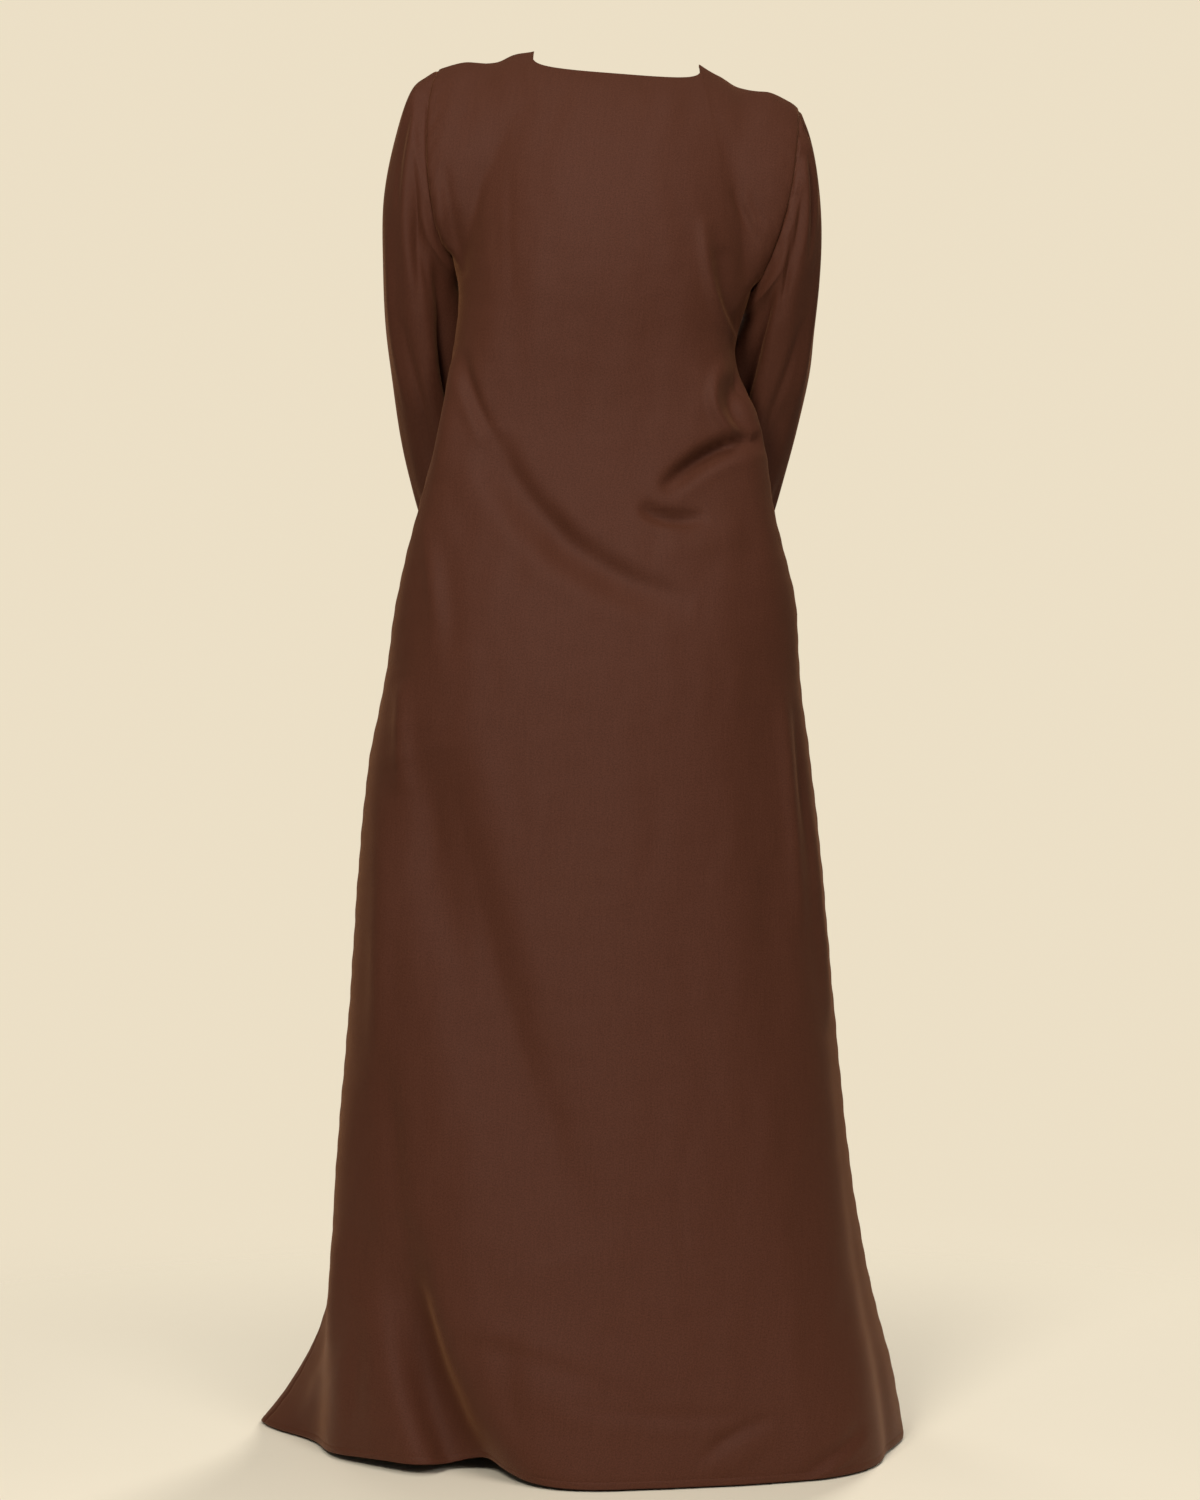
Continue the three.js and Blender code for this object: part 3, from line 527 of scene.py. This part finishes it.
def makeCloth(name, points, layers, closedRound=False):
    rows, columns = points.shape[:2]
    bm = bmesh.new()
    bmesh.ops.create_grid(bm, x_segments=columns - 1, y_segments=rows - 1, size=0.5)
    steps = np.linalg.norm(np.diff(points, axis=1), axis=-1)
    across = np.concatenate([np.zeros((rows, 1)), np.cumsum(steps, axis=1)], axis=1)
    across -= across[:, -1:] / 2
    rise = np.linalg.norm(np.diff(points, axis=0), axis=-1)
    upward = np.concatenate([np.zeros((1, columns)), np.cumsum(rise, axis=0)])
    uvLayer = bm.loops.layers.uv.new("cloth")
    place = {}
    for vertex in bm.verts:
        column = round((vertex.co.x + 0.5) * (columns - 1))
        row = round((vertex.co.y + 0.5) * (rows - 1))
        place[vertex] = (row, column)
        vertex.co = points[row, column] * mm
    for face in bm.faces:
        face.smooth = True
        for loop in face.loops:
            row, column = place[loop.vert]
            loop[uvLayer].uv = (across[row, column] * mm, upward[row, column] * mm)
    weights = [layers[place[vertex][0]] for vertex in bm.verts]
    mesh = bpy.data.meshes.new(name)
    bm.to_mesh(mesh)
    bm.free()
    piece = bpy.data.objects.new(name, mesh)
    bpy.context.scene.collection.objects.link(piece)
    group = piece.vertex_groups.new(name="layers")
    for i, weight in enumerate(weights):
        group.add([i], weight, "REPLACE")
    if closedRound:
        joined = bmesh.new()
        joined.from_mesh(mesh)
        bmesh.ops.remove_doubles(joined, verts=joined.verts, dist=1e-6)
        joined.to_mesh(mesh)
        joined.free()
    return piece


def shell(piece, thickness):  # gives the cloth its thickness, inwards
    solid = piece.modifiers.new("thickness", "SOLIDIFY")
    solid.thickness = thickness * mm
    solid.offset = -1
    solid.use_even_offset = True
    solid.vertex_group = "layers"


def makePanel(name):
    points, u, v = foldedPanel(name)
    if name == "front":
        points = points[:, ::-1]  # so that its faces point outwards
    hem = v * -body["floor"] < 1.03 * panel["hemTurn"]  # its rows are of two layers
    piece = makeCloth("cloth_" + name, points, np.where(hem, 1.0, 0.5))
    shell(piece, 2 * panel["cloth"])
    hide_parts(name)
    return piece


# Sleeves
sleeve = {
    "columns": 192,  # round the arm
    "rows": 170,
    "cloth": 0.7,
    "cuffTurn": 0.14,  # in sections of the table, as the rows below are too
    # rows at the cuff, above its edge
    "cuffRows": (0, 0.018, 0.045, 0.07, 0.084, 0.095, 0.103, 0.111, 0.122, 0.14, 0.152, 0.2),
    "evenRowsEnd": 0.3,  # above the cuff's edge
    "closeRows": (0.02, 0.045),  # more rows beside the armhole seam
    "wavesGrown": 60,  # how far from the armhole the slow waves are full
    "plainUnderArm": (180, 50, 50, 110),  # angle, half width in degrees, full up to and gone from there
    "cuffStitch": 8,
    "seamRadius": 90,  # of the armhole seam, for the run of its puckers
    "area": {"left": 0.155, "right": 0.142},
    "flat": {"left": (0.38, 0.62), "right": (0.36, 0.6)},
    # sections from cap to cuff: centre, half width outwards, half depth, stand-out of the two sides
    "sections": {
        "left": [
            (195, 0, -124, 19, 2, 91, 53, 12),
            (202, -6, -154, 31, 4, 69, 56, 8),
            (205.5, -16, -192, 39.5, 12, 46, 57, 3),
            (204, -26, -238, 43, 8, 24, 57, 0),
            (203, -41, -283, 43, 0, 9, 56, 0),
            (198, -60, -330, 42, 0, 0, 56, 0),
            (190, -82, -378, 43, -2, -5, 56, 0),
            (181, -98, -418, 43, 0, -10, 54, 0),
            (167, -118, -468, 43, 3, -13, 50, 0),
            (143, -142, -533, 42, 3, -14, 46, 0),
            (120, -166, -602, 40, 0, -13, 43, 0),
        ],
        "right": [
            (-172.5, 0, -167, -29.5, 2, 84, 53, 12),
            (-174.5, -5, -194, -36.5, 3, 66, 55, 8),
            (-174, -14, -224, -41, 10, 47, 56, 3),
            (-169, -28, -259, -45, 8, 30, 56, 0),
            (-164, -42, -292, -46, 0, 11, 55, 0),
            (-158, -58, -328, -48, 0, 4, 55, 0),
            (-149, -80, -374, -46, -2, -3, 55, 0),
            (-140, -98, -418, -42, 0, -8, 53, 0),
            (-125, -118, -468, -42, 3, -12, 49, 0),
            (-105, -142, -535, -41, 3, -13, 45, 0),
            (-85, -166, -604, -39, 0, -12, 42, 0),
        ],
    },
    # folds: angle at start and end (0 outer, 90 behind), sections where they lie, half width, depth
    "folds": {
        "left": [
            (42, 58, 0.2, 2.8, 10, -2.6),
            (66, 76, 0.5, 4.2, 10, 2.2),
            (88, 112, 0.8, 5.2, 13, -5),
            (20, 34, 0.2, 2.0, 8, 1.6),
            (132, 138, 2.3, 9.4, 20, -23),  # the dark wedge beside the body
            (250, 205, 5.6, 8.4, 15, -9),
            (290, 240, 5.0, 8.0, 13, 6),
            (300, 262, 6.6, 9.6, 13, -7),
            (70, 112, 6.4, 9.4, 15, -5),
            (350, 330, 0.3, 3.2, 10, -4),
            (158, 168, 0.1, 2.6, 14, 4),
            (180, 180, 0.0, 3.0, 24, 3),  # closes on the body under the arm
            (96, 84, 1.2, 4.4, 6, -3),
            (30, 48, 3.0, 6.4, 9, 2.5),
            (60, 92, 4.6, 7.6, 8, -3.5),
            (110, 128, 5.4, 8.2, 8, 3.5),
            (100, 74, 8.0, 10.6, 10, -4),
            (210, 236, 2.0, 4.6, 9, -4),
            (320, 300, 3.6, 6.2, 9, 3),
            (30, 12, 8.2, 10.8, 9, -3),
            (250, 262, 8.6, 10.9, 8, 3),
        ],
        "right": [
            (14, 20, 0.2, 2.2, 6, -3),
            (28, 36, 0.2, 2.8, 6, 2.2),
            (42, 52, 0.2, 3.2, 7, -3),
            (58, 68, 0.3, 2.8, 8, 2),
            (76, 92, 0.4, 3.4, 10, -4),
            (126, 134, 2.2, 9.0, 20, -23),
            (250, 205, 5.6, 8.4, 15, -9),
            (290, 240, 5.0, 8.0, 13, 6),
            (300, 262, 6.6, 9.6, 13, -7),
            (60, 104, 6.2, 9.2, 14, -5),
            (350, 330, 0.3, 3.2, 10, -4),
            (158, 168, 0.1, 2.6, 14, 5),
            (180, 180, 0.0, 3.0, 24, 3),
            (100, 88, 1.0, 4.0, 6, -3),
            (24, 44, 3.2, 6.6, 9, 2.5),
            (54, 88, 4.4, 7.4, 8, -3.5),
            (108, 130, 5.2, 8.0, 8, 3.5),
            (96, 70, 8.2, 10.6, 10, -4),
            (214, 238, 2.2, 4.8, 9, -4),
            (316, 298, 3.4, 6.0, 9, 3),
            (34, 14, 8.0, 10.8, 9, -3),
            (246, 260, 8.4, 10.8, 8, 3),
        ],
    },
    # gathers of the cap: angle at the seam and at the end, reach in sections, half width, depth
    "gathers": {
        "left": [
            (6, 14, 0.9, 3.2, -0.4),
            (16, 25, 1.3, 3.6, -0.6),
            (27, 36, 1.9, 4.0, -0.7),
            (40, 50, 1.2, 3.6, -0.5),
            (54, 62, 2.3, 4.4, -0.7),
            (72, 78, 1.1, 4.0, -0.4),
            (350, 342, 1.2, 3.4, -0.5),
            (336, 326, 1.6, 3.8, -0.6),
            (318, 308, 1.1, 4.0, -0.4),
        ],
        "right": [
            (7, 22, 1.5, 3.2, -2.0),
            (15, 31, 1.0, 2.8, 1.0),
            (25, 36, 2.0, 3.4, -2.2),
            (38, 48, 1.2, 3.2, 1.2),
            (50, 62, 2.2, 3.8, -2.2),
            (64, 74, 1.3, 3.6, 0.9),
            (76, 86, 1.5, 4.0, -1.7),
            (352, 344, 1.3, 3.2, -1.7),
            (338, 328, 1.8, 3.6, -1.8),
            (320, 310, 1.2, 4.0, -1.4),
        ],
    },
}


def armholeLoop(side, angle):  # the armhole as the sleeve's first ring
    turned = (angle / pi) % 2
    behind = armhole(side, "behind", np.clip(1 - turned, 0, 1))
    before = armhole(side, "before", np.clip(turned - 1, 0, 1))
    return np.where((turned <= 1)[:, None], behind, before)


def plainSleeve(side, angle, row):
    outward = 1 if side == "left" else -1
    table = np.array(sleeve["sections"][side], float)
    centres = table[:, :3]
    outs = table[:, 3:6]
    ways = np.gradient(centres, axis=0)
    behind = outward * np.cross(outs, ways)
    behind[:, 0] = 0
    behind = unit(behind) * table[:, 6:7]
    rings = centres[:, None] + outs[:, None] * np.cos(angle)[None, :, None]
    rings = rings + behind[:, None] * np.sin(angle)[None, :, None]
    rings[..., 0] += outward * table[:, 7:8] * np.sin(angle)[None, :] ** 2
    rings = np.concatenate([armholeLoop(side, angle)[None], rings])
    return smoothThrough(np.arange(len(rings), dtype=float), rings, row)


def sleeveFoldHeight(side, angle, row):
    height = np.zeros((len(row), len(angle)))
    degrees = np.degrees(angle)[None, :]
    for start, end, first, last, width, depth in sleeve["folds"][side]:
        share = np.clip((row[:, None] - first) / (last - first), 0, 1)
        away = (degrees - mix(start, end, share) + 540) % 360 - 180
        height += depth * np.sin(pi * share) ** 0.8 * np.exp(-((away / width) ** 2))
    for start, end, reach, width, depth in sleeve["gathers"][side]:
        share = np.clip(row[:, None] / reach, 0, 1)
        away = (degrees - mix(start, end, share) + 540) % 360 - 180
        held = ease(0, 0.1, row[:, None]) * (1 - share) ** 1.3
        height += depth * held * np.exp(-((away / (width * (1 + 0.8 * share))) ** 2))
    return height


def armWaveHeight(angle, run):  # whole waves round the arm, so that they meet
    height = 0.35 * np.sin(5 * angle + 1.5 * np.sin(run / 60))
    return height + 0.25 * np.sin(8 * angle - run / 70) + 0.15 * np.sin(13 * angle + run / 38)


def foldedSleeve(side):
    last = len(sleeve["sections"][side])
    cuff = last - np.array(sleeve["cuffRows"])
    even = np.linspace(0, last - sleeve["evenRowsEnd"], sleeve["rows"])
    row = np.unique(np.concatenate([even, cuff, np.array(sleeve["closeRows"])]))
    angle = np.linspace(0, 2 * pi, sleeve["columns"] + 1)
    points = plainSleeve(side, angle, row)
    wrapped = np.concatenate([points[:, -2:-1], points, points[:, 1:2]], axis=1)
    normals = surfaceNormals(wrapped, -1 if side == "left" else 1)[:, 1:-1]
    rise = np.linalg.norm(np.diff(points, axis=0), axis=-1)
    fromCap = np.concatenate([np.zeros((1, len(angle))), np.cumsum(rise, axis=0)])
    height = armWaveHeight(angle[None, :], fromCap) * ease(0, sleeve["wavesGrown"], fromCap)
    height += seamRelief(fromCap, sleeve["seamRadius"] * angle[None, :])
    under, wide, fullTo, goneFrom = sleeve["plainUnderArm"]
    underArm = np.exp(-(((np.degrees(angle) - under) / wide) ** 2))
    height *= 1 - underArm * (1 - ease(fullTo, goneFrom, fromCap))
    height += sleeveFoldHeight(side, angle, row)
    height += hemRelief(fromCap[-1:] - fromCap, sleeve["cuffStitch"])
    return points + normals * height[..., None], row


def makeSleeve(side):
    points, row = foldedSleeve(side)
    if side == "left":
        points = points[:, ::-1]
    cuff = row > len(sleeve["sections"][side]) - 1.05 * sleeve["cuffTurn"]  # two layers as well
    piece = makeCloth("cloth_sleeve_" + side, points, np.where(cuff, 1.0, 0.5), closedRound=True)
    shell(piece, 2 * sleeve["cloth"])
    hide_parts("sleeve_" + side)
    return piece


# Crepe
crepe = {
    "colour": (0.0640, 0.0206, 0.0110),
    "worn": (0.0920, 0.0315, 0.0178),  # where the light catches the yarn
    "roughness": 0.56,
    "specular": 0.1,
    "sheen": 0.16,
    "sheenRoughness": 0.4,
    "sheenTint": (1.0, 0.46, 0.2),
    "bump": (0.35, 0.00006),  # strength, and depth in metres
    "threads": 1800,  # scale of the weave, to a metre of cloth
    "grain": 620,  # scale of the crepe's grain, to a metre
    "grainHeight": 6.0,  # against that of a thread
    "grainTone": 0.8,  # share of the grain in the tone, against the streaks
    "streaks": (420, 26, 1),  # scale across, along and through the cloth
    "toneRange": (0.36, 0.64),  # of the noise, from the colour to the worn colour
}


def newGroup(name, inputs, outputs):
    group = bpy.data.node_groups.new(name, "ShaderNodeTree")
    for label, kind, value in inputs:
        socket = group.interface.new_socket(name=label, in_out="INPUT", socket_type=kind)
        socket.default_value = value
    for label, kind in outputs:
        group.interface.new_socket(name=label, in_out="OUTPUT", socket_type=kind)
    return group, group.nodes.new("NodeGroupInput"), group.nodes.new("NodeGroupOutput")


def addNode(tree, kind, values=None, **settings):
    node = tree.nodes.new(kind)
    for name, value in settings.items():
        setattr(node, name, value)
    for name, value in (values or {}).items():
        node.inputs[name].default_value = value
    return node


def weaveGroup():  # a fine weave along the cloth's own threads: its height, and its streaks of tone
    inputs = [("Cloth", "NodeSocketVector", (0, 0, 0))]
    inputs += [("Threads", "NodeSocketFloat", crepe["threads"]), ("Grain", "NodeSocketFloat", crepe["grain"])]
    outputs = [("Height", "NodeSocketFloat"), ("Streaks", "NodeSocketFloat")]
    group, source, sink = newGroup("weave", inputs, outputs)
    link = group.links.new
    heights = []
    for axis in ("X", "Y"):
        band = addNode(group, "ShaderNodeTexWave", {"Distortion": 1.5, "Detail": 2, "Detail Scale": 1.5},
                       bands_direction=axis)
        link(source.outputs["Cloth"], band.inputs["Vector"])
        link(source.outputs["Threads"], band.inputs["Scale"])
        heights.append(band)
    weave = addNode(group, "ShaderNodeMath", operation="ADD")
    link(heights[0].outputs["Fac"], weave.inputs[0])
    link(heights[1].outputs["Fac"], weave.inputs[1])
    grain = addNode(group, "ShaderNodeTexNoise", {"Detail": 2, "Roughness": 0.7})
    link(source.outputs["Cloth"], grain.inputs["Vector"])
    link(source.outputs["Grain"], grain.inputs["Scale"])
    pebbled = addNode(group, "ShaderNodeMath", {1: crepe["grainHeight"]}, operation="MULTIPLY_ADD")
    link(grain.outputs["Fac"], pebbled.inputs[0])
    link(weave.outputs[0], pebbled.inputs[2])
    link(pebbled.outputs[0], sink.inputs["Height"])
    stretch = addNode(group, "ShaderNodeMapping", {"Scale": crepe["streaks"]})
    link(source.outputs["Cloth"], stretch.inputs["Vector"])
    streaks = addNode(group, "ShaderNodeTexNoise", {"Scale": 1, "Detail": 4, "Roughness": 0.6})
    link(stretch.outputs["Vector"], streaks.inputs["Vector"])
    tone = addNode(group, "ShaderNodeMix", {"Factor": crepe["grainTone"]})
    link(streaks.outputs["Fac"], tone.inputs["A"])
    link(grain.outputs["Fac"], tone.inputs["B"])
    link(tone.outputs["Result"], sink.inputs["Streaks"])
    return group


def crepeMaterial():
    material = bpy.data.materials.new("crepe")
    material.use_nodes = True
    tree = material.node_tree
    link = tree.links.new
    shader = tree.nodes["Principled BSDF"]
    shader.inputs["Roughness"].default_value = crepe["roughness"]
    shader.inputs["Sheen Weight"].default_value = crepe["sheen"]
    shader.inputs["Sheen Roughness"].default_value = crepe["sheenRoughness"]
    shader.inputs["Sheen Tint"].default_value = (*crepe["sheenTint"], 1)
    shader.inputs["Specular IOR Level"].default_value = crepe["specular"]
    cloth = addNode(tree, "ShaderNodeUVMap", uv_map="cloth")
    weave = addNode(tree, "ShaderNodeGroup", node_tree=weaveGroup())
    weave.inputs["Threads"].default_value = crepe["threads"]
    weave.inputs["Grain"].default_value = crepe["grain"]
    link(cloth.outputs["UV"], weave.inputs["Cloth"])
    blend = addNode(tree, "ShaderNodeMix", data_type="RGBA")
    blend.inputs["A"].default_value = (*crepe["colour"], 1)
    blend.inputs["B"].default_value = (*crepe["worn"], 1)
    low, high = crepe["toneRange"]
    spread = addNode(tree, "ShaderNodeMapRange", {"From Min": low, "From Max": high})
    link(weave.outputs["Streaks"], spread.inputs["Value"])
    link(spread.outputs["Result"], blend.inputs["Factor"])
    link(blend.outputs["Result"], shader.inputs["Base Color"])
    strength, depth = crepe["bump"]
    bump = addNode(tree, "ShaderNodeBump", {"Strength": strength, "Distance": depth})
    link(weave.outputs["Height"], bump.inputs["Height"])
    link(bump.outputs["Normal"], shader.inputs["Normal"])
    return material


# Studio
studio = {
    "backdrop": (0.838, 0.740, 0.566),
    "floorColour": (0.97, 0.90, 0.74),
    "floorSize": 6.0,
    "floorGap": 0.0004,  # how far the floor lies below the solids
    "floorRoughness": 0.75,
    "floorFade": (0.35, 1.7),  # the floor melts into the backdrop between these radii
    "cameraPlace": (0.01785, 3.2, -0.7266),
    "lens": 73.14,
    "sensor": 36,
    "aim": (0, 0, -0.7),
    # lights: name, place, size, power, colour
    "lights": [
        ("key", (0.8, 2.5, 0.5), 0.8, 46, (1.0, 0.95, 0.87)),
        ("fill", (-1.3, 2.8, 0.3), 1.1, 23, (1.0, 0.95, 0.9)),
        ("top", (-0.1, 1.3, 2.1), 1.2, 24, (1.0, 0.97, 0.93)),
        ("frontKey", (-1.3, -3.1, 0.9), 1.0, 78, (1.0, 0.96, 0.9)),
        ("frontFill", (1.5, -3.0, 0.0), 1.6, 22, (1.0, 0.96, 0.92)),
    ],
    "ambient": (0.95, 0.9, 0.82),
    "ambientPower": 0.15,
}


def floorMaterial():
    material = bpy.data.materials.new("floor")
    material.use_nodes = True
    tree = material.node_tree
    link = tree.links.new
    shader = tree.nodes["Principled BSDF"]
    shader.inputs["Base Color"].default_value = (*studio["floorColour"], 1)
    shader.inputs["Roughness"].default_value = studio["floorRoughness"]
    place = addNode(tree, "ShaderNodeTexCoord")
    level = addNode(tree, "ShaderNodeVectorMath", {1: (1, 1, 0)}, operation="MULTIPLY")
    link(place.outputs["Object"], level.inputs[0])
    radius = addNode(tree, "ShaderNodeVectorMath", operation="LENGTH")
    link(level.outputs["Vector"], radius.inputs[0])
    near, far = studio["floorFade"]
    fade = addNode(tree, "ShaderNodeMapRange", {"From Min": near, "From Max": far},
                   interpolation_type="SMOOTHSTEP")
    link(radius.outputs["Value"], fade.inputs["Value"])
    clear = addNode(tree, "ShaderNodeBsdfTransparent")
    blend = addNode(tree, "ShaderNodeMixShader")
    link(fade.outputs["Result"], blend.inputs["Fac"])
    link(shader.outputs["BSDF"], blend.inputs[1])
    link(clear.outputs["BSDF"], blend.inputs[2])
    link(blend.outputs["Shader"], tree.nodes["Material Output"].inputs["Surface"])
    return material


def makeFloor():
    place = Matrix.Translation((0, 0, cadBox[0][2] - studio["floorGap"]))
    bm = bmesh.new()
    bmesh.ops.create_grid(bm, x_segments=1, y_segments=1, size=studio["floorSize"] / 2, matrix=place)
    mesh = bpy.data.meshes.new("floor")
    bm.to_mesh(mesh)
    bm.free()
    mesh.materials.append(floorMaterial())
    floor = bpy.data.objects.new("floor", mesh)
    bpy.context.scene.collection.objects.link(floor)


def makeBackdrop():  # the camera sees an even backdrop, and the cloth is lit by a dimmer one
    world = bpy.data.worlds.new("studio")
    world.use_nodes = True
    tree = world.node_tree
    dim = tree.nodes["Background"]
    dim.inputs["Color"].default_value = (*studio["ambient"], 1)
    dim.inputs["Strength"].default_value = studio["ambientPower"]
    seen = addNode(tree, "ShaderNodeBackground", {"Color": (*studio["backdrop"], 1), "Strength": 1})
    path = addNode(tree, "ShaderNodeLightPath")
    blend = addNode(tree, "ShaderNodeMixShader")
    tree.links.new(path.outputs["Is Camera Ray"], blend.inputs["Fac"])
    tree.links.new(dim.outputs["Background"], blend.inputs[1])
    tree.links.new(seen.outputs["Background"], blend.inputs[2])
    tree.links.new(blend.outputs["Shader"], tree.nodes["World Output"].inputs["Surface"])
    bpy.context.scene.world = world
    view = bpy.context.scene.view_settings
    view.view_transform = "Standard"
    view.look = "None"


def makeLights():
    for name, place, size, power, colour in studio["lights"]:
        light = bpy.data.lights.new(name, "AREA")
        light.shape = "DISK"
        light.size = size
        light.energy = power
        light.color = colour
        lamp = bpy.data.objects.new(name, light)
        lamp.location = place
        lamp.visible_camera = False
        lamp.visible_glossy = not name.startswith("front")  # these would only draw a bright rim
        aim = Vector(studio["aim"]) - Vector(place)
        lamp.rotation_euler = aim.to_track_quat("-Z", "Y").to_euler()
        bpy.context.scene.collection.objects.link(lamp)


def makeCamera():
    data = bpy.data.cameras.new("camera")
    data.lens = studio["lens"]
    data.sensor_width = studio["sensor"]
    camera = bpy.data.objects.new("camera", data)
    camera.location = studio["cameraPlace"]
    camera.rotation_euler = Euler((pi / 2, 0, pi))
    bpy.context.scene.collection.objects.link(camera)
    bpy.context.scene.camera = camera


pieces = [makePanel("back"), makePanel("front"), makeSleeve("left"), makeSleeve("right")]
print("cloth made")
crepeFinish = crepeMaterial()
for piece in pieces:
    piece.data.materials.append(crepeFinish)
    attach(piece, "root")
makeFloor()
makeBackdrop()
makeLights()
makeCamera()
print("studio made")
